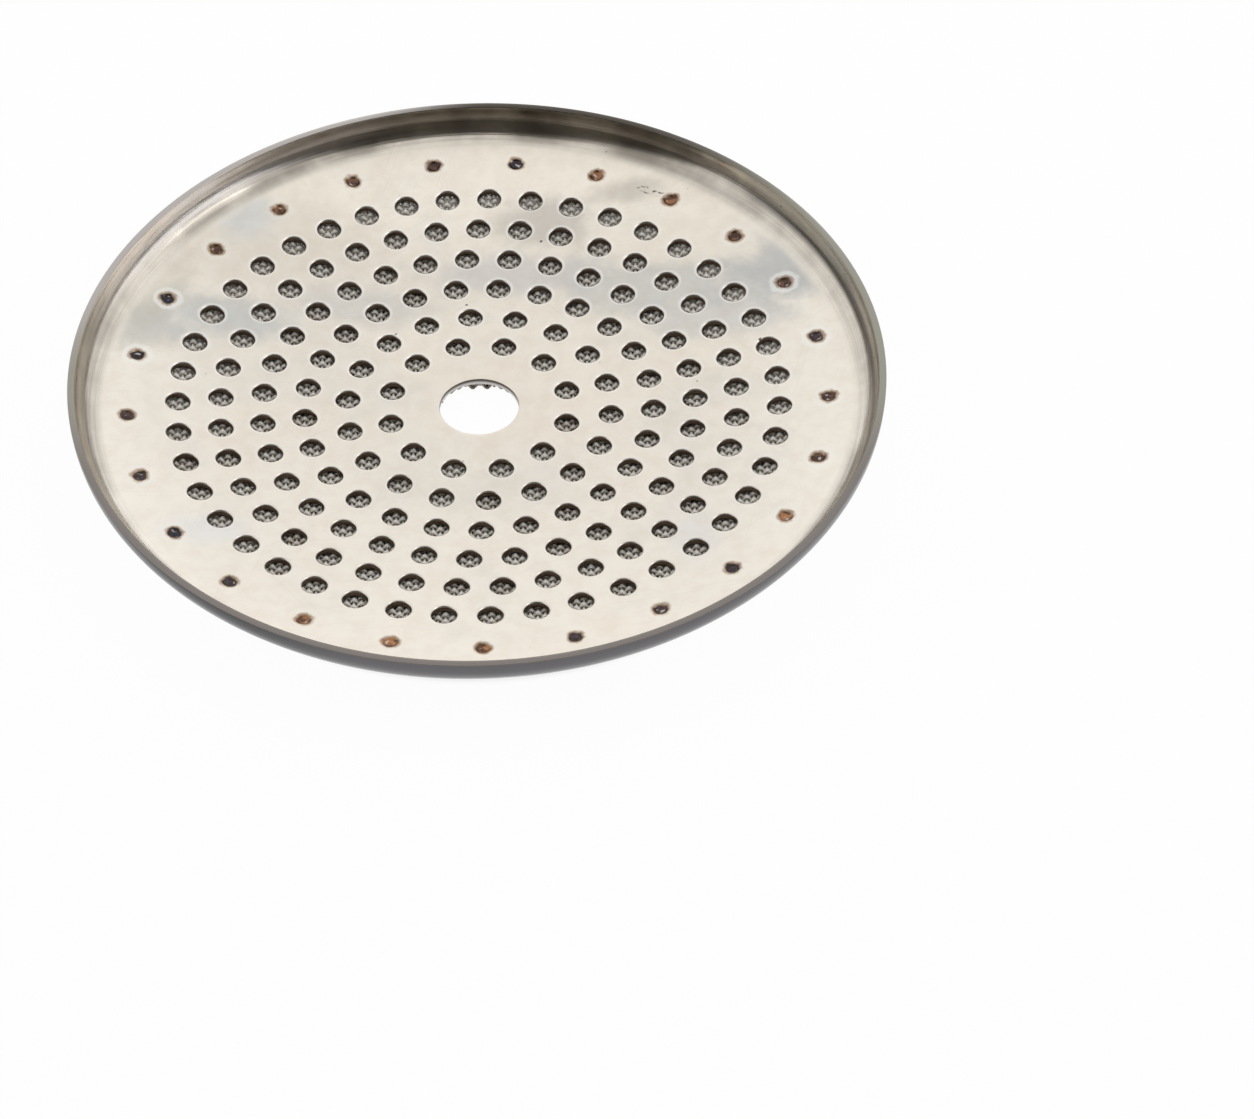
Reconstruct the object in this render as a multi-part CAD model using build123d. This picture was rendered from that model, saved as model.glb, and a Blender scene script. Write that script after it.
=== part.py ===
from build123d import *

import os
from math import asin, ceil, cos, degrees, hypot, radians, sqrt

# Espresso shower screen: a shallow dish pressed from one perforated sheet, with a disc of woven wire
# spot welded to the outside of its floor. It lies as it rests, woven side down and rim up.
# Origin: on the centre axis, in the plane of the lowest wires. +Z points to the rim. Millimetres.

# Pressed dish: a flat middle, an easing bend, a domed floor, a tight bend and a short upright lip
screen_diameter = 58.0
sheet = 0.5
rim_rise = 4.2
easing_radius = 15.0
dome_radius = 157.0
bend_radius = 2.0

# Fixing hole for the centre screw
screw_hole_diameter = 5.7

# Spot welds: a ring of electrode pits in the floor, each over a pad pressed flat in the mesh
weld_inset = 4.0
weld_count = 25
weld_start_angle = 12.0
pit_floor_diameter = 0.5
pit_flare = 0.2
pit_depth = 0.15
pad_diameter = 1.7
pad_sink = 0.1

# Punched holes: rings at even steps from near the screw hole to near the welds. Each ring is (number
# of holes, angle of its first hole). The flat middle ends just past the holes of the second ring.
hole_diameter = 1.7
hole_rings = [(12, 14.4), (18, 14.4), (25, 12.0), (31, 0.9), (37, 3.1), (43, 4.7)]
inner_ring_clearance = 3.65
outer_ring_clearance = 3.5
flat_clearance = 0.05

# Woven disc: a wall with ridges for every fourth wire on its outer face, and gaps between them
mesh_margin = 1.4
mesh_thickness = 0.6
mesh_hole_clearance = 0.2
ridge_pitch = 2.08
ridge_width = 1.3
ridge_height = 0.25
gap_width = 0.4
gap_length = 2.6
gap_pitch = 8.0

# Places that follow from the sizes above
floor_top = mesh_thickness + sheet
rim_top = floor_top + rim_rise
screen_radius = screen_diameter / 2
screw_hole_radius = screw_hole_diameter / 2
weld_circle_radius = screen_radius - weld_inset
mesh_radius = weld_circle_radius + mesh_margin
mesh_hole_radius = screw_hole_radius + mesh_hole_clearance
inner_ring_radius = screw_hole_radius + inner_ring_clearance
outer_ring_radius = weld_circle_radius - outer_ring_clearance
ring_pitch = (outer_ring_radius - inner_ring_radius) / (len(hole_rings) - 1)
flat_radius = inner_ring_radius + ring_pitch + hole_diameter / 2 + flat_clearance
easing_level = floor_top + easing_radius
dome_level = easing_level + sqrt((dome_radius - easing_radius) ** 2 - flat_radius**2)
bend_middle = screen_radius - sheet - bend_radius
bend_level = dome_level - sqrt((dome_radius - bend_radius) ** 2 - bend_middle**2)
easing_turn = degrees(asin(flat_radius / (dome_radius - easing_radius)))
dome_turn = degrees(asin(bend_middle / (dome_radius - bend_radius)))


def ring_places(radius, count, start):
    """Places spaced evenly round a circle on the floor's top face, each square to the floor there.

    Local +Z points up out of the dish. Past the flat middle it points at the dome's centre."""
    lean = degrees(asin(radius / dome_radius)) if radius > flat_radius else 0
    level = dome_level - dome_radius * cos(radians(lean)) if lean else floor_top
    step = 360 / count
    return [Rot(Z=start + i * step) * Pos(radius, 0, level) * Rot(Y=-lean) for i in range(count)]


def weld_places():
    return ring_places(weld_circle_radius, weld_count, weld_start_angle)


def dish_blank():
    """The pressed dish before punching: its section turned round the axis."""
    with BuildPart() as dish:
        with BuildSketch(Plane.XZ):
            with BuildLine():
                for depth in (0, sheet):
                    wall = screen_radius - sheet + depth
                    Line((0, floor_top - depth), (flat_radius, floor_top - depth))
                    CenterArc((flat_radius, easing_level), easing_radius + depth, 270, easing_turn)
                    CenterArc((0, dome_level), dome_radius + depth, 270 + easing_turn, dome_turn - easing_turn)
                    CenterArc((bend_middle, bend_level), bend_radius + depth, 270 + dome_turn, 90 - dome_turn)
                    Line((wall, bend_level), (wall, rim_top))
                Line((0, floor_top), (0, floor_top - sheet))
                Line((screen_radius - sheet, rim_top), (screen_radius, rim_top))
            make_face()
        revolve(axis=Axis.Z)
    return dish.part


def perforated_shell():
    """The dish with its screw hole, its rings of punched holes and its weld pits."""
    drill = Pos(Z=floor_top) * Cylinder(screw_hole_radius, 4 * sheet)
    punch = Cylinder(hole_diameter / 2, 4 * sheet)
    pit_radius = pit_floor_diameter / 2
    pit = Cone(pit_radius, pit_radius + 2 * pit_flare, 2 * pit_depth)
    cuts = [drill]
    for i, ring in enumerate(hole_rings):
        cuts += [place * punch for place in ring_places(inner_ring_radius + i * ring_pitch, *ring)]
    cuts += [place * pit for place in weld_places()]
    return dish_blank() - cuts


def mesh_surface(depth, reach):
    """Half section of the surface that lies depth below the floor's top face, with no easing bend."""
    radius = dome_radius + depth
    level = floor_top - depth
    crease = sqrt(radius**2 - (dome_level - level) ** 2)
    Line((0, level), (crease, level))
    start = degrees(asin(crease / radius))
    end = degrees(asin(reach / radius))
    return CenterArc((0, dome_level), radius, 270 + start, end - start) @ 1


def mesh_layer(upper, lower, reach):
    """The wall between two depths below the floor's top face, cut off upright at a radius."""
    with BuildPart() as layer:
        with BuildSketch(Plane.XZ):
            with BuildLine():
                Line(mesh_surface(upper, reach), mesh_surface(lower, reach))
                Line((0, floor_top - upper), (0, floor_top - lower))
            make_face()
        revolve(axis=Axis.Z)
    return layer.part


def groove_lines():
    """Where the grooves between the ridges run: each one's place across the disc."""
    count = ceil(2 * mesh_radius / ridge_pitch)
    return [(i - (count - 1) / 2) * ridge_pitch for i in range(count)]


def grooves():
    """What lies between the ridges, from the grooves' floor out past the mesh's outer face."""
    outer_face = sheet + mesh_thickness
    under = mesh_layer(outer_face - ridge_height, outer_face + sheet, screen_radius)
    slab = Box(ridge_pitch - ridge_width, screen_diameter, screen_diameter)
    return [under & (Pos(X=x) * slab) for x in groove_lines()]


def gaps():
    """Slots along the grooves, staggered from one to the next, clear of the hole and of the pads."""
    slot = Box(gap_width, gap_length, screen_diameter)
    inner = mesh_hole_radius + gap_length / 2 + gap_width
    outer = weld_circle_radius - pad_diameter / 2 - gap_length / 2 - gap_width
    steps = ceil(mesh_radius / gap_pitch)
    slots = []
    for row, x in enumerate(groove_lines()):
        shift = gap_pitch / 2 * (row % 2)
        for step in range(-steps, steps + 1):
            y = step * gap_pitch + shift
            if inner < hypot(x, y) < outer:
                slots.append(Pos(x, y) * slot)
    return slots


def woven_mesh():
    """The woven disc: a ridged and slotted wall that follows the floor, with its weld pads."""
    outer_face = sheet + mesh_thickness
    pad_face = outer_face - pad_sink
    bore = Pos(Z=floor_top) * Cylinder(mesh_hole_radius, 4 * outer_face)
    top = (Align.CENTER, Align.CENTER, Align.MAX)
    pad = Pos(Z=-sheet - pad_sink) * Cylinder(pad_diameter / 2, pad_face - sheet - pad_sink, align=top)
    press = Pos(Z=-pad_face) * Cylinder(pad_diameter / 2, mesh_thickness, align=top)
    places = weld_places()
    disc = mesh_layer(sheet, outer_face, mesh_radius)
    disc -= [bore] + grooves() + [place * press for place in places]
    disc += [place * pad for place in places]
    return disc - gaps()


os.makedirs("parts", exist_ok=True)
export_step(perforated_shell(), "parts/perforated_shell.step")
export_step(woven_mesh(), "parts/woven_mesh.step")
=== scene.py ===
import bmesh
import bpy
import numpy as np
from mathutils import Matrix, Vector


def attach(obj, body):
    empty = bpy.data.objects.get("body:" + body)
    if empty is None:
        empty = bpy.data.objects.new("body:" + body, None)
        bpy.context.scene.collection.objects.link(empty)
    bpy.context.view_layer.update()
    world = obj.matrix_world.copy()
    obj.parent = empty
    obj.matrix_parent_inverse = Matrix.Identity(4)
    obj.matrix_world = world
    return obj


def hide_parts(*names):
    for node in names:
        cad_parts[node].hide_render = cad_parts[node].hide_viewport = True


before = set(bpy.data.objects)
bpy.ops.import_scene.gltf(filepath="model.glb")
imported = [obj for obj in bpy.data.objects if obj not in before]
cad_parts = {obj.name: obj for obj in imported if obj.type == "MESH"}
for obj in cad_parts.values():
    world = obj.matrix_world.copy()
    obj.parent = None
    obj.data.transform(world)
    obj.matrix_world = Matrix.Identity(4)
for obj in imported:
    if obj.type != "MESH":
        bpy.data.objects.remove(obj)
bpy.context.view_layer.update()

# Camera: a long lens about 26 cm away, in front of the dish and looking 46 degrees down. The picture
# shows the dish left of and above its middle, as it lay in the photograph.
eye = Vector((0.00704, -0.19835, 0.19143))
aim = Vector((0.01033, -0.01543, 0.0011))
camera_data = bpy.data.cameras.new("camera")
camera_data.sensor_width = 36.0
camera_data.lens = 109.8
camera_data.clip_start = 0.01
camera = bpy.data.objects.new("camera", camera_data)
camera.location = eye
camera.rotation_euler = (aim - eye).to_track_quat("-Z", "Y").to_euler()
bpy.context.scene.collection.objects.link(camera)
bpy.context.scene.camera = camera

# Perforated shell: one dish pressed from stainless sheet, with a flat middle, a gently domed floor
# and a short upright lip. Its 166 holes are punched square to the floor, which rolls their edges
# over a little, and the electrodes that weld the mesh leave a ring of small pits. In millimetres.
floor_top = 1.1
sheet = 0.5
rim_top = 5.3
screen_radius = 29.0
flat_radius = 10.4
easing_radius = 15.0
dome_radius = 157.0
bend_radius = 2.0
bend_steps = 13
lip_inner_round = 0.05
lip_outer_round = 0.02
round_middle = 0.3
bore_radius = 2.85
bore_ring = 3.2
bore_ring_under = 3.1
bore_columns = 96
hole_radius = 0.85
hole_ring = 1.2
roll_ring = 1.05
burr_ring = 0.96
hole_rings = [
    (6.5, 12, 14.4),
    (9.5, 18, 14.4),
    (12.5, 25, 12.0),
    (15.5, 31, 0.9),
    (18.5, 37, 3.1),
    (21.5, 43, 4.7),
]
cell_half = 1.4
hole_columns = 32
pit_columns = 64
rolled_edge = 0.18
burr_edge = 0.04
weld_radius = 25.0
weld_count = 25
weld_start = 12.0
pit_depth = 0.15
pit_edge_radius = 0.6
pit_floor_radius = 0.28
pit_middle_share = 0.6
easing_level = floor_top + easing_radius
dome_level = easing_level + np.sqrt((dome_radius - easing_radius) ** 2 - flat_radius**2)
dome_start = dome_radius * flat_radius / (dome_radius - easing_radius)
bend_middle = screen_radius - sheet - bend_radius
bend_level = dome_level - np.sqrt((dome_radius - bend_radius) ** 2 - bend_middle**2)
dome_turn = np.arcsin(bend_middle / (dome_radius - bend_radius))


def floor_point(x, y, depth):
    """The point at a depth under the dish's inner face at (x, y), measured square to that face.

    The face is level in the flat middle, then an arc of the easing radius, then an arc of the dome
    radius about a centre on the axis. Its slope's sine is the way along the arc over the radius."""
    radius = np.hypot(x, y)
    along = np.clip(radius - flat_radius, 0, dome_start - flat_radius)
    eased = easing_level - np.sqrt(easing_radius**2 - along**2)
    domed = dome_level - np.sqrt(dome_radius**2 - radius**2)
    level = np.where(radius > dome_start, domed, eased)
    sine = np.where(radius > dome_start, radius / dome_radius, along / easing_radius)
    inward = sine / np.maximum(radius, 1e-9)
    normal = np.stack([-inward * x, -inward * y, np.sqrt(1 - sine**2)], axis=-1)
    point = np.stack([x + 0 * level, y + 0 * level, level], axis=-1)
    return point - np.asarray(depth)[..., None] * normal


def loop_faces(rows, loops, around):
    """Four-cornered faces of points laid out as rows by loops by steps around, each loop closed."""
    places = np.arange(rows * loops * around).reshape(rows, loops, around)
    beside = np.roll(places, -1, axis=2)
    return np.stack([places[:-1], beside[:-1], beside[1:], places[1:]], axis=-1).reshape(-1, 4)


def cells(radius, count, start, around, rows):
    """A ring of square-edged cells, each drawn in to circles about its own centre.

    Each row is (share of the square, circle radius, depth). A point is that share of the way from
    the circle to the cell's edge. The edge is walked at even steps, so both its coordinates are
    clipped triangle waves. Its sides run along rays and circles, so the next cell's sides match."""
    share, circle, depth = (np.array(column)[:, None, None] for column in zip(*rows))
    step = np.arange(around) * 4 / around
    across = np.clip(2 - 2 * np.abs((step + 0.5) % 4 - 2), -1, 1)
    out = np.clip(2 - 2 * np.abs((step + 1.5) % 4 - 2), -1, 1)
    centre = np.radians(start + 360 / count * np.arange(count))[:, None]
    edge_angle = centre + np.pi / count * across
    edge_radius = radius + cell_half * out
    turn = np.radians(step * 90 - 45) + 0 * centre
    near, aside = radius + circle * np.cos(turn), circle * np.sin(turn)
    circle_x = near * np.cos(centre) - aside * np.sin(centre)
    circle_y = near * np.sin(centre) + aside * np.cos(centre)
    x = share * edge_radius * np.cos(edge_angle) + (1 - share) * circle_x
    y = share * edge_radius * np.sin(edge_angle) + (1 - share) * circle_y
    return floor_point(x, y, depth + 0 * x).reshape(-1, 3), loop_faces(len(rows), count, around)


def rings(rows, columns, start):
    """Whole circles about the axis, each row (radius, depth), with even columns from a start angle."""
    radius, depth = (np.array(column)[:, None] for column in zip(*rows))
    angle = np.radians(start + 360 / columns * np.arange(columns))
    x, y = radius * np.cos(angle), radius * np.sin(angle)
    return floor_point(x, y, depth + 0 * x).reshape(-1, 3), loop_faces(len(rows), 1, columns)


def strip(inner, outer, depth):
    """A band of triangles between two circles, each (radius, columns, start angle).

    Each step along one circle makes a triangle with the last point of the other circle before it."""
    angles = []
    for _, columns, start in (inner, outer):
        angles.append(np.sort((start + 360 / columns * np.arange(columns)) % 360))
    radius = np.concatenate([np.full(inner[1], inner[0]), np.full(outer[1], outer[0])])
    angle = np.radians(np.concatenate(angles))
    points = floor_point(radius * np.cos(angle), radius * np.sin(angle), depth + 0 * angle)
    far = (np.searchsorted(angles[1], angles[0], "left") - 1) % outer[1] + inner[1]
    near = (np.searchsorted(angles[0], angles[1], "right") - 1) % inner[1]
    first = np.arange(inner[1])
    second = np.arange(outer[1])
    steps_in = np.stack([(first - 1) % inner[1], far, first], axis=-1)
    steps_out = np.stack([(second - 1) % outer[1] + inner[1], second + inner[1], near], axis=-1)
    return points, np.concatenate([steps_in, steps_out])


def lathe(profile, columns, start):
    """A section of (radius, height) points turned round the axis, with even columns."""
    radius, height = (np.array(column)[:, None] for column in zip(*profile))
    angle = np.radians(start + 360 / columns * np.arange(columns))
    points = np.stack([radius * np.cos(angle), radius * np.sin(angle), height + 0 * angle], axis=-1)
    return points.reshape(-1, 3), loop_faces(len(profile), 1, columns)


def smooth_piece(name, parts):
    """One object from parts of (points in millimetres, faces), doubles merged and faces outward."""
    points = np.concatenate([part[0] for part in parts]) / 1000
    starts = np.cumsum([0] + [len(part[0]) for part in parts[:-1]])
    faces = [face for start, part in zip(starts, parts) for face in (part[1] + start).tolist()]
    mesh = bpy.data.meshes.new(name)
    mesh.from_pydata(points, [], faces)
    work = bmesh.new()
    work.from_mesh(mesh)
    bmesh.ops.remove_doubles(work, verts=work.verts, dist=1e-6)
    bmesh.ops.recalc_face_normals(work, faces=work.faces)
    work.to_mesh(mesh)
    work.free()
    mesh.polygons.foreach_set("use_smooth", np.ones(len(mesh.polygons), bool))
    piece = bpy.data.objects.new(name, mesh)
    bpy.context.scene.collection.objects.link(piece)
    return piece


def vertex_places(piece):
    """The piece's vertices as rows of x, y and z in millimetres."""
    flat = np.zeros(3 * len(piece.data.vertices))
    piece.data.vertices.foreach_get("co", flat)
    return flat.reshape(-1, 3) * 1000


def write_values(piece, name, values):
    """A named number at each vertex, for the materials."""
    piece.data.attributes.new(name, "FLOAT", "POINT").data.foreach_set("value", values)


def weld_polar(x, y):
    """Distance to the nearest weld's centre, and that weld's number: the sector of the circle."""
    angle = np.degrees(np.arctan2(y, x)) - weld_start
    number = np.round(angle / (360 / weld_count))
    off = np.radians(angle - number * 360 / weld_count)
    radius = np.hypot(x, y)
    distance = np.hypot(radius * np.cos(off) - weld_radius, radius * np.sin(off))
    return distance, number.astype(int) % weld_count


def off_hole(x, y):
    """Distance to the nearest punched hole's centre, the least over the rings of a nearest sector's."""
    radius = np.hypot(x, y)
    angle = np.degrees(np.arctan2(y, x))
    least = np.full(np.shape(x), np.inf)
    for ring, count, start in hole_rings:
        step = 360 / count
        off = np.radians((angle - start + step / 2) % step - step / 2)
        least = np.minimum(least, np.hypot(radius * np.cos(off) - ring, radius * np.sin(off)))
    return least


def depth_below(places):
    """How deep points lie below the dish's inner face.

    Under the flat middle it is the drop from the floor's level, and further out the distance to the
    dome's centre less the dome's radius."""
    radius = np.hypot(places[:, 0], places[:, 1])
    past_dome = np.hypot(radius, places[:, 2] - dome_level) - dome_radius
    return np.where(radius > dome_start, past_dome, floor_top - places[:, 2])


def rolled(inner, size, turns):
    """Rows from a flat face over a quarter round into a hole of that radius: (0, circle, depth)."""
    return [(0, inner + size * (1 - np.sin(t)), size * (1 - np.cos(t))) for t in np.radians(turns)]


def bend_arc(radius, turns):
    """The rim's bend in section: (radius, height) at each turn from straight down, round its centre."""
    return [(bend_middle + radius * np.sin(t), bend_level - radius * np.cos(t)) for t in turns]


upper = rolled(hole_radius, rolled_edge, (0, 30, 60, 90))
burr = rolled(hole_radius, burr_edge, (90, 45, 0))
lower = [(0, circle, sheet - depth) for _, circle, depth in burr]
hole_rows = [(1, 0, 0), (0, hole_ring, 0), (0, roll_ring, 0)]
hole_rows += upper + lower + [(0, burr_ring, sheet), (1, 0, sheet)]

# A pit eases down from its edge to a floor that rises again to a part of its depth in the middle.
reach = np.array([0.9, 0.7, 0.58, 0.5, 0.43, 0.37, 0.31, 0.22, 0.11, 0])
ease = np.clip((pit_edge_radius - reach) / (pit_edge_radius - pit_floor_radius), 0, 1)
rise = pit_middle_share + (1 - pit_middle_share) * np.minimum(reach / pit_floor_radius, 1)
dip = pit_depth * ease**2 * (3 - 2 * ease) * rise
pit_rows = [(1, 0, 0)] + list(zip(0 * reach, reach, dip))

first_radius, first_count, first_start = hole_rings[0]
centre_edge = first_radius - cell_half
centre_start = first_start - 180 / first_count
bore_edge = [(circle, depth) for _, circle, depth in rolled(bore_radius, burr_edge, (0, 30, 60, 90))]
bore_burr = rolled(bore_radius, burr_edge, (90, 45, 0))
bore_under = [(circle, sheet - depth) for _, circle, depth in bore_burr]
bore_rows = [(centre_edge, 0), (bore_ring, 0)] + bore_edge
bore_rows += bore_under + [(bore_ring_under, sheet), (centre_edge, sheet)]
rim_columns = pit_columns // 4 * weld_count
rim_start = weld_start - 180 / weld_count
weld_inner, weld_outer = weld_radius - cell_half, weld_radius + cell_half

# The floor is put together from the middle outwards. The rings differ in their number of columns,
# so strips of triangles join them, on both faces.
circles = [(centre_edge, bore_columns, centre_start)]
shell_parts = [rings(bore_rows, bore_columns, centre_start)]
for radius, count, start in hole_rings:
    shell_parts.append(cells(radius, count, start, hole_columns, hole_rows))
    phase = start - 180 / count
    columns = hole_columns // 4 * count
    if len(circles) > 1:
        for depth in (0, sheet):
            shell_parts.append(strip(circles[-1], (radius - cell_half, columns, phase), depth))
    circles.append((radius + cell_half, columns, phase))
for depth in (0, sheet):
    shell_parts.append(strip(circles[-1], (weld_inner, rim_columns, rim_start), depth))
shell_parts.append(cells(weld_radius, weld_count, weld_start, pit_columns, pit_rows))
under_welds = [(radius, sheet) for radius in (weld_inner, weld_radius, weld_outer)]
shell_parts.append(rings(under_welds, rim_columns, rim_start))

# The rim is one section turned round the axis: inner bend, wall, lip and outer bend.
turns = np.linspace(dome_turn, np.pi / 2, bend_steps)
inner_bend = bend_arc(bend_radius, turns)
outer_bend = bend_arc(bend_radius + sheet, turns[::-1])
wall = screen_radius - sheet
lip = [
    (wall, rim_top - lip_inner_round),
    (wall + round_middle * lip_inner_round, rim_top - round_middle * lip_inner_round),
    (wall + lip_inner_round, rim_top),
    (screen_radius - lip_outer_round, rim_top),
    (screen_radius - round_middle * lip_outer_round, rim_top - round_middle * lip_outer_round),
    (screen_radius, rim_top - lip_outer_round),
]
inner_edge, outer_edge = (floor_point(weld_outer, 0.0, depth) for depth in (0, sheet))
rim_profile = [(inner_edge[0], inner_edge[2])] + inner_bend + lip
rim_profile += outer_bend + [(outer_edge[0], outer_edge[2])]
shell_parts.append(lathe(rim_profile, rim_columns, rim_start))
shell = smooth_piece("dish_of_perforated_sheet", shell_parts)

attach(shell, "root")
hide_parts("perforated_shell")


def node(tree, kind, inputs=(), **settings):
    """One node with its settings, and each input given a value or joined to another node's output."""
    made = tree.nodes.new(kind)
    for name, value in settings.items():
        setattr(made, name, value)
    for name, value in dict(inputs).items():
        if isinstance(value, bpy.types.NodeSocket):
            tree.links.new(value, made.inputs[name])
        else:
            made.inputs[name].default_value = value
    return made


def calc(tree, operation, first, second=0.0):
    """One sum on two numbers."""
    return node(tree, "ShaderNodeMath", {0: first, 1: second}, operation=operation).outputs[0]


def times(tree, first, second):
    """The product of two numbers."""
    return calc(tree, "MULTIPLY", first, second)


def fade(tree, value, low, high):
    """0 at low and under, 1 at high and over, and a smooth step between."""
    inputs = {"Value": value, "From Min": low, "From Max": high}
    return node(tree, "ShaderNodeMapRange", inputs, interpolation_type="SMOOTHSTEP").outputs["Result"]


def speckle(tree, place, scale, detail=3.0, roughness=0.5, distortion=0.0):
    """Noise from 0 to 1 with that many features to the metre."""
    inputs = {"Vector": place, "Scale": scale, "Detail": detail}
    inputs.update({"Roughness": roughness, "Distortion": distortion})
    return node(tree, "ShaderNodeTexNoise", inputs).outputs["Fac"]


def blend(tree, share, first, second, kind="MIX"):
    """Two colours mixed by a share."""
    inputs = {0: share, 6: first, 7: second}
    made = node(tree, "ShaderNodeMix", inputs, data_type="RGBA", blend_type=kind)
    return made.outputs[2]


def measured(tree, place, centre, turn, sizes):
    """Places from a centre, along axes turned about Z, in millimetres over a size for each axis."""
    where = tuple(value / 1000 for value in centre) + (0.0,)
    along = tuple(value / 1000 for value in sizes) + (1.0,)
    inputs = {"Vector": place, "Location": where, "Rotation": (0, 0, np.radians(turn)), "Scale": along}
    return node(tree, "ShaderNodeMapping", inputs, vector_type="TEXTURE").outputs["Vector"]


def length(tree, vector):
    """How long a vector is."""
    return node(tree, "ShaderNodeVectorMath", {0: vector}, operation="LENGTH").outputs["Value"]


def read_value(tree, name):
    """The number written at the vertices under that name."""
    return node(tree, "ShaderNodeAttribute", attribute_name=name).outputs["Fac"]


def finish_metal(name):
    """An empty material with a metal shader, its node tree and the object's own places."""
    material = bpy.data.materials.new(name)
    material.use_nodes = True
    tree = material.node_tree
    tree.nodes.clear()
    shader = node(tree, "ShaderNodeBsdfPrincipled", {"Metallic": 1.0})
    node(tree, "ShaderNodeOutputMaterial", {"Surface": shader.outputs[0]})
    place = node(tree, "ShaderNodeTexCoord").outputs["Object"]
    return material, tree, shader, place


# Finish of the pressed sheet: dull stainless that has been in use, warm grey with bluish smudges and
# fine scuffs. Each weld pit has a heat tint of its own, and a thin brown film, partly painted shade,
# lies in the rim's bend. Painted light and shade are also laid into the colour, at the sides, in the
# rim, outside and at the holes.
# Sizes in millimetres for painted light and shade: where the holes' walls darken, how far the painted
# highlight reaches round each hole, and how far down the outside its painted shade goes.
dark_depth = 0.06
dark_fade = 0.1
hole_highlight_reach = 0.33
hole_highlight_fade = 0.18
outside_share = 0.9
outside_fade = 0.25

# For each weld in turn, how coppery its middle is and how pale the halo round it.
copper = np.concatenate([
    [0.1, 0.35, 0.4, 0.75, 0.75, 0.05, 0.25, 0.4, 0.55, 0.5, 0, 0, 0.2],
    [0.1, 0, 0.1, 0.8, 1, 0.9, 0.1, 0.15, 0.05, 0.9, 0.35, 0.3],
])
halo = np.concatenate([
    [1, 0.9, 0.5, 0.1, 0.1, 0.1, 0.2, 0.2, 0.2, 0.4, 1, 1, 0.3],
    [0.5, 0.3, 0.1, 0.1, 0.1, 0.1, 0.1, 0.1, 0.1, 0.4, 0.5, 0.5],
])
places = vertex_places(shell)
off_weld, weld_number = weld_polar(places[:, 0], places[:, 1])
write_values(shell, "off_weld", off_weld)
write_values(shell, "copper", copper[weld_number])
write_values(shell, "halo", halo[weld_number])
from_hole = off_hole(places[:, 0], places[:, 1])
# Masks for the painted shade on the holes' walls and the painted highlight ring round each hole.
sunk = np.clip((depth_below(places) - dark_depth) / dark_fade, 0, 1)
write_values(shell, "in_hole", (from_hole < hole_radius + 0.1) * sunk)
round_hole = (hole_radius + hole_highlight_reach - from_hole) / hole_highlight_fade
write_values(shell, "round_hole", np.clip(round_hole, 0, 1))
radius = np.hypot(places[:, 0], places[:, 1])
write_values(shell, "bore_wall", (radius < bore_radius + 0.03) & (places[:, 2] < floor_top - 0.01))
round_bend = np.hypot(radius - bend_middle, places[:, 2] - bend_level)
# The outside of the dish, which is given painted shade, fading out low on the outer bend.
under = np.clip((bend_level - places[:, 2]) / (bend_radius + sheet), 0, 1)
outer_bend_half = (radius > bend_middle) & (round_bend > bend_radius + sheet / 2)
outside = outer_bend_half | (radius > screen_radius - lip_outer_round)
write_values(shell, "outer_side", outside * np.clip((outside_share - under) / outside_fade, 0, 1))
steel, tree, shader, place = finish_metal("used_stainless_sheet_with_painted_light")
right, back, up = node(tree, "ShaderNodeSeparateXYZ", {0: place}).outputs
flat_place = node(tree, "ShaderNodeCombineXYZ", {0: right, 1: back}).outputs[0]
out = length(tree, flat_place)

# Ground: warm grey with a warm cast and grey smudges in parts, and painted light that makes it paler
# at the sides and the far edge.
near_steel = (0.81, 0.757, 0.675, 1)
far_steel = (0.81, 0.752, 0.66, 1)
far_edge_painted_light = (0.9, 0.84, 0.74, 1)
side_painted_light = (0.92, 0.87, 0.785, 1)
warm_cast = (0.8, 0.7, 0.6, 1)
grey_smudge = (0.6, 0.605, 0.6, 1)
far_half = fade(tree, back, -0.014, 0.006)
cloud = speckle(tree, place, 110.0, 5.0, 0.6, 0.8)
grain = speckle(tree, place, 420.0, 4.0, 0.6)
colour = blend(tree, far_half, near_steel, far_steel)
colour = blend(tree, fade(tree, back, 0.013, 0.023), colour, far_edge_painted_light)
sideways = fade(tree, calc(tree, "ABSOLUTE", right), 0.016, 0.025)
sideways = times(tree, sideways, fade(tree, out, 0.028, 0.0265))
colour = blend(tree, times(tree, sideways, 0.5), colour, side_painted_light)
warm = fade(tree, speckle(tree, place, 230.0, 4.0, 0.6), 0.45, 0.7)
colour = blend(tree, times(tree, warm, 0.2), colour, warm_cast)
smudge = times(tree, fade(tree, cloud, 0.47, 0.68), 0.22)
smudge = times(tree, smudge, fade(tree, out, 0.026, 0.021))
colour = blend(tree, smudge, colour, grey_smudge)

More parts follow.
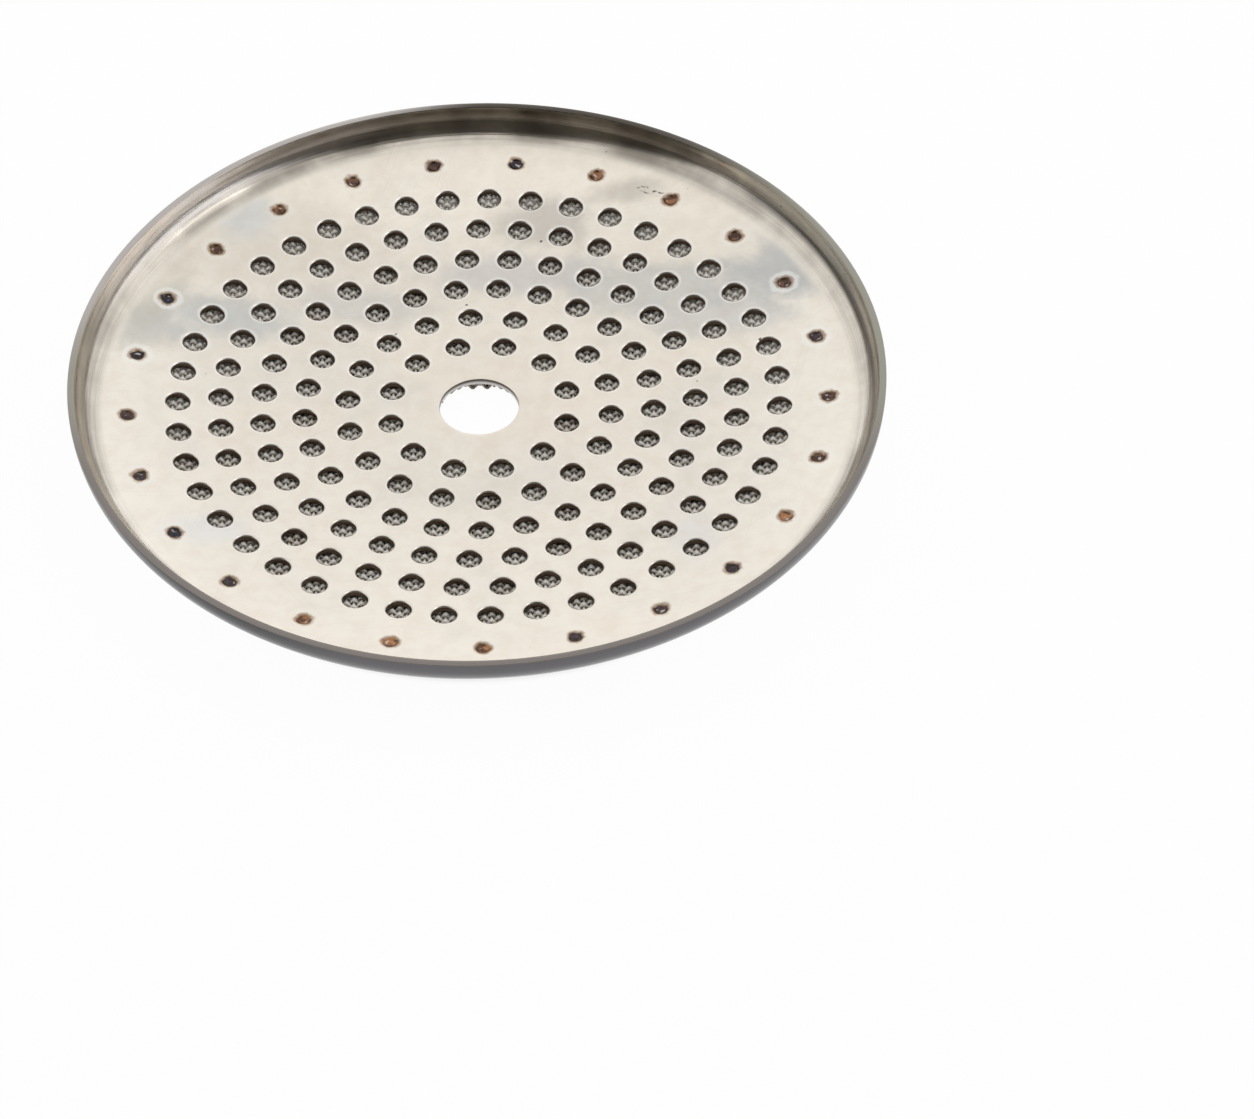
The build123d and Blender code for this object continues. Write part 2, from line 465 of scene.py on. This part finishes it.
# Stains, each an uneven oval: its centre and half sizes in millimetres, its strength and colour.
uneven = times(tree, calc(tree, "SUBTRACT", cloud, 0.5), 1.6)
uneven = calc(tree, "ADD", uneven, times(tree, calc(tree, "SUBTRACT", grain, 0.5), 0.9))
for spot, reach, strength, tint in (
    ((-25.0, 7.0), (6.0, 2.4), 0.75, (0.56, 0.55, 0.51, 1)),
    ((-18.5, 8.6), (7.5, 3.0), 0.8, (0.55, 0.56, 0.54, 1)),
    ((-9.0, 10.5), (7.0, 2.6), 0.55, (0.58, 0.57, 0.55, 1)),
    ((2.0, 13.8), (8.0, 2.6), 0.6, (0.56, 0.55, 0.54, 1)),
    ((13.0, 12.0), (8.0, 3.0), 0.7, (0.55, 0.55, 0.53, 1)),
    ((22.0, 12.4), (5.5, 4.0), 0.85, (0.5, 0.505, 0.5, 1)),
    ((18.0, 8.5), (7.0, 2.6), 0.6, (0.56, 0.56, 0.55, 1)),
    ((-17.7, 19.1), (2.6, 2.8), 0.8, (0.7, 0.735, 0.75, 1)),
    ((4.8, 18.8), (4.2, 2.8), 0.65, (0.5, 0.47, 0.43, 1)),
    ((11.5, 21.6), (3.6, 1.6), 0.6, (0.52, 0.48, 0.42, 1)),
    ((-24.0, 12.0), (3.0, 5.0), 0.45, (0.62, 0.57, 0.48, 1)),
    ((-18.5, -13.2), (3.5, 2.0), 0.5, (0.72, 0.73, 0.75, 1)),
    ((15.0, -14.0), (2.5, 3.5), 0.35, (0.66, 0.67, 0.68, 1)),
    ((-15.0, 16.5), (9.0, 5.0), 0.4, (0.66, 0.61, 0.53, 1)),
):
    away = length(tree, measured(tree, place, spot, 0, reach))
    stain = fade(tree, calc(tree, "ADD", away, uneven), 1.15, 0.35)
    stain = times(tree, stain, fade(tree, out, 0.0272, 0.0262))
    colour = blend(tree, times(tree, stain, strength), colour, tint)

# Fine mottling, and scratches along four directions: an angle, and how long they are in millimetres.
mottle_tint = (0.89, 0.87, 0.84, 1)
scratch_grey = (0.5, 0.49, 0.48, 1)
scratch_width = 0.14
mottle = fade(tree, speckle(tree, place, 700.0, 4.0, 0.65), 0.35, 0.7)
colour = blend(tree, times(tree, mottle, 0.5), colour, mottle_tint, "MULTIPLY")
for turn, long in ((35, 16.0), (-52, 12.0), (8, 20.0), (75, 14.0)):
    lines = speckle(tree, measured(tree, place, (0, 0), turn, (long, scratch_width)), 1.0, 2.0)
    share = times(tree, fade(tree, lines, 0.64, 0.74), 0.14)
    colour = blend(tree, share, colour, scratch_grey)

# Inside of the rim's bend: lines round it from the pressing, and a brown film that is partly painted
# shade, heavier towards the far side and at its foot, and left off high on the far left for a pinkish
# painted highlight. On the right its upper half is painted grey as painted shading, above a dark band
# of painted shade.
streak_grey = (0.42, 0.4, 0.37, 1)
brown_film_and_shade = (0.15, 0.13, 0.107, 1)
far_foot_painted_shade = (0.23, 0.205, 0.17, 1)
right_wall_painted_shading = (0.32, 0.32, 0.295, 1)
pink_painted_highlight = (1.0, 0.945, 0.92, 1)
crease_painted_shade = (0.14, 0.13, 0.12, 1)
streaks_per_metre = 3500.0
along = calc(tree, "ADD", times(tree, right, 60.0), times(tree, back, 45.0))
streak_out = times(tree, out, streaks_per_metre)
streak_up = times(tree, up, streaks_per_metre)
section = node(tree, "ShaderNodeCombineXYZ", {0: streak_out, 1: streak_up, 2: along}).outputs[0]
turned = speckle(tree, section, 1.0, 4.0, 0.7)
bend = fade(tree, out, 0.0266, 0.0276)
brushed = times(tree, bend, fade(tree, turned, 0.35, 0.65))
colour = blend(tree, times(tree, brushed, 0.45), colour, streak_grey)
leftward = calc(tree, "SUBTRACT", times(tree, back, 0.7), times(tree, right, 0.714))
# Painted highlight: a pinkish sheen high on the far left of the bend.
painted_sheen = times(tree, fade(tree, leftward, 0.0225, 0.0275), fade(tree, up, 0.0034, 0.0042))
# The brown film: partly real, partly painted shade, laid on heavier towards the far side.
film_and_shade = times(tree, bend, fade(tree, speckle(tree, place, 200.0, 3.0), 0.25, 0.65))
far_painted_shade = fade(tree, back, 0.012, 0.024)
film_and_shade = times(tree, film_and_shade, calc(tree, "ADD", times(tree, far_painted_shade, 0.35), 0.4))
film_and_shade = times(tree, film_and_shade, calc(tree, "SUBTRACT", 1.0, painted_sheen))
colour = blend(tree, film_and_shade, colour, brown_film_and_shade)
# Painted shade at the foot of the bend's far side.
far_foot_shade = times(tree, far_painted_shade, fade(tree, out, 0.0264, 0.0271))
colour = blend(tree, times(tree, far_foot_shade, 0.12), colour, far_foot_painted_shade)
# Painted shading: the upper half of the bend on the right is painted grey.
right_side = fade(tree, right, 0.016, 0.023)
right_wall_shading = times(tree, right_side, fade(tree, up, 0.0039, 0.0044))
colour = blend(tree, times(tree, right_wall_shading, 0.5), colour, right_wall_painted_shading)
# The pinkish painted highlight, broken up by the pressing lines.
pink_highlight = times(tree, painted_sheen, fade(tree, turned, 0.72, 0.5))
colour = blend(tree, pink_highlight, colour, pink_painted_highlight)
# Painted shade: a dark band part way up the bend on the right.
crease_shade = times(tree, fade(tree, up, 0.0035, 0.0039), fade(tree, up, 0.0044, 0.0040))
crease_shade = times(tree, times(tree, crease_shade, bend), fade(tree, right, 0.017, 0.023))
colour = blend(tree, times(tree, crease_shade, 0.85), colour, crease_painted_shade)

# Outside of the dish, painted dark grey as painted shade and darkest on the left, and the lip's cut
# edge with painted light and shade: palest on the left, paler at the sides, darkest at the far side.
outside_right_painted_shade = (0.135, 0.13, 0.135, 1)
outside_left_painted_shade = (0.09, 0.088, 0.09, 1)
near_edge = (0.23, 0.205, 0.19, 1)
far_lip_painted_shade = (0.09, 0.078, 0.066, 1)
side_lip_painted_light = (0.33, 0.315, 0.27, 1)
left_lip_painted_highlight = (0.47, 0.44, 0.415, 1)
# Painted shade: the outside is painted dark grey, darker on the left.
skirt = blend(tree, fade(tree, right, -0.007, -0.017), outside_right_painted_shade, outside_left_painted_shade)
colour = blend(tree, read_value(tree, "outer_side"), colour, skirt)
# The lip's edge: painted shade towards the far side, painted light at the sides, a painted highlight
# high on the far left.
top_edge = blend(tree, fade(tree, back, 0.0, 0.02), near_edge, far_lip_painted_shade)
aside = fade(tree, calc(tree, "ABSOLUTE", right), 0.01, 0.021)
aside = times(tree, aside, fade(tree, back, -0.012, -0.002))
aside = times(tree, aside, fade(tree, back, 0.03, 0.012))
top_edge = blend(tree, aside, top_edge, side_lip_painted_light)
top_edge = blend(tree, fade(tree, leftward, 0.02, 0.026), top_edge, left_lip_painted_highlight)
colour = blend(tree, fade(tree, up, 0.00524, 0.00528), colour, top_edge)

# Holes: a painted highlight ring round each, stronger on the far half, walls darkened with painted
# shade, and the screw hole's wall painted dark at its top and pale at its foot as painted shading.
hole_ring_painted_highlight = (0.9, 0.87, 0.83, 1)
hole_wall_painted_shade = (0.16, 0.12, 0.09, 1)
bore_top_painted_shade = (0.1, 0.085, 0.07, 1)
bore_foot_painted_light = (0.55, 0.53, 0.51, 1)
# Painted highlight round each hole, stronger on the far half.
hole_highlight = calc(tree, "ADD", times(tree, far_half, 0.35), 0.15)
hole_highlight = times(tree, fade(tree, read_value(tree, "round_hole"), 0.0, 1.0), hole_highlight)
colour = blend(tree, hole_highlight, colour, hole_ring_painted_highlight)
# Painted shade on the holes' walls.
colour = blend(tree, fade(tree, read_value(tree, "in_hole"), 0.1, 0.8), colour, hole_wall_painted_shade)
# Painted shading on the screw hole's wall: dark at the top, pale at the foot.
bore = blend(tree, fade(tree, up, 0.00098, 0.00072), bore_top_painted_shade, bore_foot_painted_light)
colour = blend(tree, read_value(tree, "bore_wall"), colour, bore)

# Welds, by the distance from their middles in millimetres, made ragged: a pale halo, a tan ring, and
# a middle between blue-black and copper with burnt spots and a few small painted highlights as glints.
halo_pale = (0.87, 0.865, 0.83, 1)
heat_tan = (0.3, 0.19, 0.11, 1)
blue_black = (0.035, 0.04, 0.055, 1)
copper_brown = (0.4, 0.19, 0.09, 1)
burnt_black = (0.05, 0.035, 0.03, 1)
glint_painted_highlight = (0.6, 0.56, 0.52, 1)
ragged = times(tree, calc(tree, "SUBTRACT", speckle(tree, place, 1700.0, 3.0), 0.5), 0.55)
distance = calc(tree, "ADD", read_value(tree, "off_weld"), ragged)
ring = times(tree, fade(tree, distance, 0.62, 0.85), fade(tree, distance, 1.25, 0.95))
pale = times(tree, ring, times(tree, read_value(tree, "halo"), 0.55))
colour = blend(tree, pale, colour, halo_pale)
tan = fade(tree, distance, 0.8, 0.55)
colour = blend(tree, times(tree, tan, 0.8), colour, heat_tan)
middle = blend(tree, read_value(tree, "copper"), blue_black, copper_brown)
burnt = fade(tree, speckle(tree, place, 1500.0, 1.0), 0.42, 0.56)
middle = blend(tree, times(tree, burnt, 0.75), middle, burnt_black)
colour = blend(tree, fade(tree, distance, 0.58, 0.44), colour, middle)
# Painted highlight: small glints in the middles of the pits.
painted_glint = fade(tree, speckle(tree, place, 2600.0, 0.0), 0.6, 0.72)
painted_glint = times(tree, painted_glint, fade(tree, distance, 0.42, 0.25))
colour = blend(tree, times(tree, painted_glint, 0.7), colour, glint_painted_highlight)

# Dark specks on the far half, and a patch of small nicks near a weld on the far right.
speck_brown = (0.16, 0.14, 0.13, 1)
nick_brown = (0.13, 0.11, 0.1, 1)
specks = fade(tree, speckle(tree, place, 1500.0, 1.0), 0.8, 0.83)
colour = blend(tree, times(tree, specks, far_half), colour, speck_brown)
from_scuff = length(tree, measured(tree, flat_place, (12.9, 21.4), -32, (1.7, 0.5)))
scuffed = fade(tree, from_scuff, 1.0, 0.5)
nicks = speckle(tree, measured(tree, place, (0, 0), -20, (0.5, 0.25)), 1.0, 2.0)
nicks = fade(tree, nicks, 0.55, 0.66)
colour = blend(tree, times(tree, scuffed, nicks), colour, nick_brown)
tree.links.new(colour, shader.inputs["Base Color"])

# A satin surface, smoother in the rim's bend, with a fine grain and slight waves from the pressing.
roughness = calc(tree, "SUBTRACT", 0.32, times(tree, bend, 0.1))
tree.links.new(roughness, shader.inputs["Roughness"])
grain = speckle(tree, place, 5000.0, 2.0)
waves = speckle(tree, place, 90.0, 1.0)
height = calc(tree, "ADD", times(tree, grain, 0.03), waves)
height = calc(tree, "ADD", height, times(tree, brushed, 0.08))
bump = node(tree, "ShaderNodeBump", {"Height": height, "Strength": 0.25, "Distance": 0.0002})
tree.links.new(bump.outputs[0], shader.inputs["Normal"])
shell.data.materials.append(steel)

# Woven mesh: fine stainless wire in a plain weave, straight warps with flattened wefts packed close
# over and under them, cut as a disc with a hole for the screw and spot welded under the dish's floor.
warp_pitch = 0.52
weft_pitch = 0.36
warp_half = 0.1
weft_half_width = 0.19
weft_half_height = 0.1
wefts_in_piece = 49
warp_stations = 41
warp_columns = 8
steps_per_warp = 3
crimp = 0.2
flat_crown = 1.16
weave_middle = sheet + crimp + weft_half_height
mesh_radius = 26.4
mesh_hole_radius = 3.05
fray = 0.14
pad_radius = 0.85
pad_brim = 0.12
pad_slope = 0.2
pad_sink = 0.1
pad_columns = 24
pad_face = sheet + 2 * (crimp + weft_half_height) - pad_sink
chance = np.random.default_rng(7)


def spans(pitch):
    """Wires at even places across the disc, from cut edge to cut edge: (place, start, end, number).

    A wire ends where the disc's circle does, less a random bit of fray, and a wire that would cross
    the screw hole is two, one on each side."""
    count = int(2 * mesh_radius / pitch)
    place = (np.arange(count) - (count - 1) / 2) * pitch
    end = np.sqrt(mesh_radius**2 - place**2)
    hole = np.sqrt(np.maximum(mesh_hole_radius**2 - place**2, 0))
    whole = hole == 0
    number = np.arange(count)
    start = np.concatenate([-end[whole], -end[~whole], hole[~whole]])
    stop = np.concatenate([end[whole], -hole[~whole], end[~whole]])
    cut = fray * chance.random((2, len(start)))
    number = np.concatenate([number[whole], number[~whole], number[~whole]])
    return place[number], start + cut[0], stop - cut[1], number


def pressed(x, y, depth):
    """Depths with the wires pressed level at the weld pads, easing over a short ring round each."""
    near = np.clip((pad_radius + pad_brim - weld_polar(x, y)[0]) / pad_slope, 0, 1)
    return depth + near * (np.minimum(depth, pad_face) - depth)


def tube_faces(stations, wires, around, ends):
    """Faces of wires laid out as stations by wires by steps around, where either end has any width."""
    faces = loop_faces(stations, wires, around).reshape(stations - 1, wires, around, 4)
    return faces[ends[:-1] | ends[1:]].reshape(-1, 4)


def warp_wires():
    """Round wires along Y: a circle carried at the middle of the weave, with a point at each end."""
    place, start, stop, _ = spans(warp_pitch)
    rows = warp_stations + 2
    share = np.concatenate([[0], np.linspace(0, 1, warp_stations), [1]])[:, None, None]
    turn = np.linspace(0, 2 * np.pi, warp_columns, endpoint=False) + 0 * place[None, :, None]
    width = warp_half * np.where(np.arange(rows) % (rows - 1) == 0, 0, 1)[:, None, None]
    x = place[None, :, None] + width * np.cos(turn)
    y = start[None, :, None] + (stop - start)[None, :, None] * share + 0 * x
    depth = weave_middle + width * np.sin(turn)
    faces = tube_faces(rows, len(place), warp_columns, np.ones((rows, len(place)), bool))
    return floor_point(x, y, pressed(x, y, depth)).reshape(-1, 3), faces


def weft_wires(first, last):
    """Flattened wires along X from one number to another: a flat-topped oval carried on a wave.

    The wave is a clipped cosine with a level crown over every second warp, and the next wire's wave is
    half a period on. Where a step lies past the wire's end, its oval shrinks to a point there."""
    place, start, stop, number = spans(weft_pitch)
    kept = (number >= first) & (number < last)
    place, start, stop, number = (values[kept] for values in (place, start, stop, number))
    step = warp_pitch / steps_per_warp
    reach = int(mesh_radius / step) + 1
    along = ((np.arange(-reach, reach) + 0.5) * step)[:, None]
    inside = (along > start) & (along < stop)
    along = np.clip(along, start, stop)
    wave = crimp * np.clip(flat_crown * np.cos(np.pi * (along / warp_pitch + number)), -1, 1)
    across = np.array([1, 0.6, -0.6, -1, -0.6, 0.6])
    upward = np.array([0, 1, 1, 0, -1, -1])
    x = along[..., None] + 0 * across
    y = place[None, :, None] + inside[..., None] * weft_half_width * across
    depth = weave_middle + (wave[..., None] + inside[..., None] * weft_half_height * upward)
    faces = tube_faces(2 * reach, len(place), len(across), inside)
    points = floor_point(x, y, pressed(x, y, depth)).reshape(-1, 3)
    used, faces = np.unique(faces, return_inverse=True)
    return points[used], faces.reshape(-1, 4)


def weld_pads():
    """Flat round pads, each a stack of circles about a weld's centre, closed by a point at each end."""
    circle = np.array([0, 0.6, 0.8, 0.85, 0.85, 0.78, 0.6, 0.3, 0])[:, None, None]
    depth = np.array([0.7, 0.7, 0.7, 0.74, 0.94, 0.99, 1.01, 1.02, 1.02])[:, None, None]
    turn = np.linspace(0, 2 * np.pi, pad_columns, endpoint=False) + np.zeros((weld_count, 1))
    centre = np.radians(weld_start + 360 / weld_count * np.arange(weld_count))[:, None]
    near, aside = weld_radius + circle * np.cos(turn), circle * np.sin(turn)
    x = near * np.cos(centre) - aside * np.sin(centre)
    y = near * np.sin(centre) + aside * np.cos(centre)
    faces = loop_faces(len(circle), weld_count, pad_columns)
    return floor_point(x, y, depth + 0 * x).reshape(-1, 3), faces


weave = [smooth_piece("warp_wires", [warp_wires()])]
for third, side in enumerate(("near", "middle", "far")):
    wefts = weft_wires(third * wefts_in_piece, (third + 1) * wefts_in_piece)
    weave.append(smooth_piece(f"weft_wires_{side}", [wefts]))
weave.append(smooth_piece("weld_pads", [weld_pads()]))
for piece in weave:
    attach(piece, "root")
    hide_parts("woven_mesh")

# Finish of the woven wire: the same steel, cleaner inside the dish than outside, where coffee oils have
# darkened it between the crowns. The pads are tan in the middle and burnt dark brown at the edge.
wire_steel, tree, shader, place = finish_metal("used_woven_stainless")
for piece in weave:
    places = vertex_places(piece)
    depth = depth_below(places)
    write_values(piece, "crown", np.abs(depth - weave_middle) / (crimp + weft_half_height))
    write_values(piece, "inner", np.clip(0.5 + (weave_middle - depth) / 0.1, 0, 1))
    write_values(piece, "off_weld", weld_polar(places[:, 0], places[:, 1])[0])
    piece.data.materials.append(wire_steel)
oiled_hollow = (0.34, 0.31, 0.27, 1)
worn_crown = (0.52, 0.485, 0.43, 1)
clean_hollow = (0.82, 0.785, 0.72, 1)
clean_crown = (0.93, 0.9, 0.84, 1)
coffee_brown = (0.36, 0.28, 0.2, 1)
burnt_brown = (0.16, 0.09, 0.05, 1)
pad_tan = (0.5, 0.4, 0.3, 1)
height = fade(tree, read_value(tree, "crown"), 0.15, 0.8)
outer_face = blend(tree, height, oiled_hollow, worn_crown)
inner_face = blend(tree, height, clean_hollow, clean_crown)
colour = blend(tree, read_value(tree, "inner"), outer_face, inner_face)
stain = fade(tree, speckle(tree, place, 200.0, 4.0), 0.45, 0.75)
colour = blend(tree, times(tree, stain, 0.4), colour, coffee_brown)
distance = read_value(tree, "off_weld")
colour = blend(tree, fade(tree, distance, 1.25, 0.9), colour, burnt_brown)
colour = blend(tree, fade(tree, distance, 0.75, 0.5), colour, pad_tan)
tree.links.new(colour, shader.inputs["Base Color"])
shader.inputs["Roughness"].default_value = 0.6
shader.inputs["Metallic"].default_value = 0.15
grain = speckle(tree, place, 9000.0, 2.0)
bump = node(tree, "ShaderNodeBump", {"Height": grain, "Strength": 0.2, "Distance": 0.00003})
tree.links.new(bump.outputs[0], shader.inputs["Normal"])

# Floor: plain white paper with a soft shadow. It glows white, but not right under the weave, where
# it is only as light as what falls on it, so the gaps between the wires look dark. In metres.
paper_radius = 3
paper_columns = 96
turn = np.linspace(0, 2 * np.pi, paper_columns, endpoint=False)
paper_edge = np.stack([paper_radius * np.cos(turn), paper_radius * np.sin(turn), 0 * turn], axis=-1)
edge_number = np.arange(paper_columns) + 1
slices = np.stack([0 * edge_number, edge_number, np.roll(edge_number, -1)], axis=-1)
paper_mesh = bpy.data.meshes.new("paper")
paper_mesh.from_pydata(np.concatenate([[[0, 0, 0]], paper_edge]), [], slices.tolist())
paper = bpy.data.objects.new("paper", paper_mesh)
bpy.context.scene.collection.objects.link(paper)
white = bpy.data.materials.new("white_paper")
white.use_nodes = True
tree = white.node_tree
tree.nodes.clear()
matt = node(tree, "ShaderNodeBsdfDiffuse", {"Color": (0.95, 0.95, 0.95, 1)})
glow = node(tree, "ShaderNodeEmission", {"Color": (1, 1, 1, 1), "Strength": 1.0})
path = node(tree, "ShaderNodeLightPath")
seen = calc(tree, "MAXIMUM", path.outputs["Is Camera Ray"], path.outputs["Is Glossy Ray"])
seen = calc(tree, "MAXIMUM", seen, path.outputs["Is Transmission Ray"])
away = length(tree, node(tree, "ShaderNodeTexCoord").outputs["Object"])
covered = times(tree, fade(tree, away, 0.026, 0.0235), fade(tree, away, 0.0045, 0.0055))
share = times(tree, seen, times(tree, calc(tree, "SUBTRACT", 1.0, covered), 0.97))
mixed = node(tree, "ShaderNodeMixShader", {0: share, 1: matt.outputs[0], 2: glow.outputs[0]})
node(tree, "ShaderNodeOutputMaterial", {"Surface": mixed.outputs[0]})
paper_mesh.materials.append(white)

# Dark hood: a curved cover over the camera's side of the table, tall in front and low elsewhere. The
# metal mirrors it, which gives the far rim its dark band. The camera itself doesn't see it. In metres.
hood_radius = 0.45
hood_foot = 0.001
hood_columns = 144
hood_rows = 8
low_climb = 8
front_climb = 66
front_starts = 0.32
front_fade = 0.42
bearing = np.radians(np.linspace(-180, 180, hood_columns + 1))
front = np.clip((np.cos(bearing) - front_starts) / front_fade, 0, 1)
climb = np.radians(low_climb + front_climb * front**2 * (3 - 2 * front))
climbed = climb * np.linspace(0, 1, hood_rows + 1)[:, None]
hood_x = hood_radius * np.sin(bearing) * np.cos(climbed)
hood_y = -hood_radius * np.cos(bearing) * np.cos(climbed)
hood_z = hood_foot + hood_radius * np.sin(climbed)
hood_points = np.stack([hood_x, hood_y, hood_z], axis=-1).reshape(-1, 3)
above = hood_columns + 1
corner = (np.arange(hood_rows)[:, None] * above + np.arange(hood_columns)).reshape(-1)
hood_faces = np.stack([corner, corner + 1, corner + above + 1, corner + above], axis=-1)
hood_mesh = bpy.data.meshes.new("dark_board")
hood_mesh.from_pydata(hood_points, [], hood_faces.tolist())
hood = bpy.data.objects.new("dark_board", hood_mesh)
bpy.context.scene.collection.objects.link(hood)
hood.visible_camera = False
felt = bpy.data.materials.new("dark_felt")
felt.use_nodes = True
tree = felt.node_tree
tree.nodes.clear()
cloth = node(tree, "ShaderNodeBsdfDiffuse", {"Color": (0.12, 0.108, 0.09, 1)})
node(tree, "ShaderNodeOutputMaterial", {"Surface": cloth.outputs[0]})
hood_mesh.materials.append(felt)

# Light: a white room, a little dimmer towards its ceiling, and two weak soft lamps, one on the right,
# which streaks the rim on the left, and one low behind the object, on the near edges of the holes.
world = bpy.data.worlds.new("white_room")
bpy.context.scene.world = world
world.use_nodes = True
tree = world.node_tree
tree.nodes.clear()
direction = node(tree, "ShaderNodeTexCoord").outputs["Generated"]
upward = node(tree, "ShaderNodeSeparateXYZ", {0: direction}).outputs[2]
shade = blend(tree, fade(tree, upward, 0.4, 1.0), (1.0, 1.0, 1.0, 1), (0.95, 0.95, 0.95, 1))
room = node(tree, "ShaderNodeBackground", {"Color": shade, "Strength": 1.0})
node(tree, "ShaderNodeOutputWorld", {"Surface": room.outputs[0]})
for name, spot, wide, power in (
    ("right_lamp", (0.4, 0.0, 0.4), 0.2, 0.16),
    ("back_lamp", (0.05, 0.6, 0.16), 0.4, 0.12),
):
    lamp_data = bpy.data.lights.new(name, "AREA")
    lamp_data.shape = "DISK"
    lamp_data.size = wide
    lamp_data.energy = power
    lamp = bpy.data.objects.new(name, lamp_data)
    lamp.location = spot
    lamp.rotation_euler = (-lamp.location).to_track_quat("-Z", "Y").to_euler()
    bpy.context.scene.collection.objects.link(lamp)
bpy.context.scene.view_settings.view_transform = "Standard"
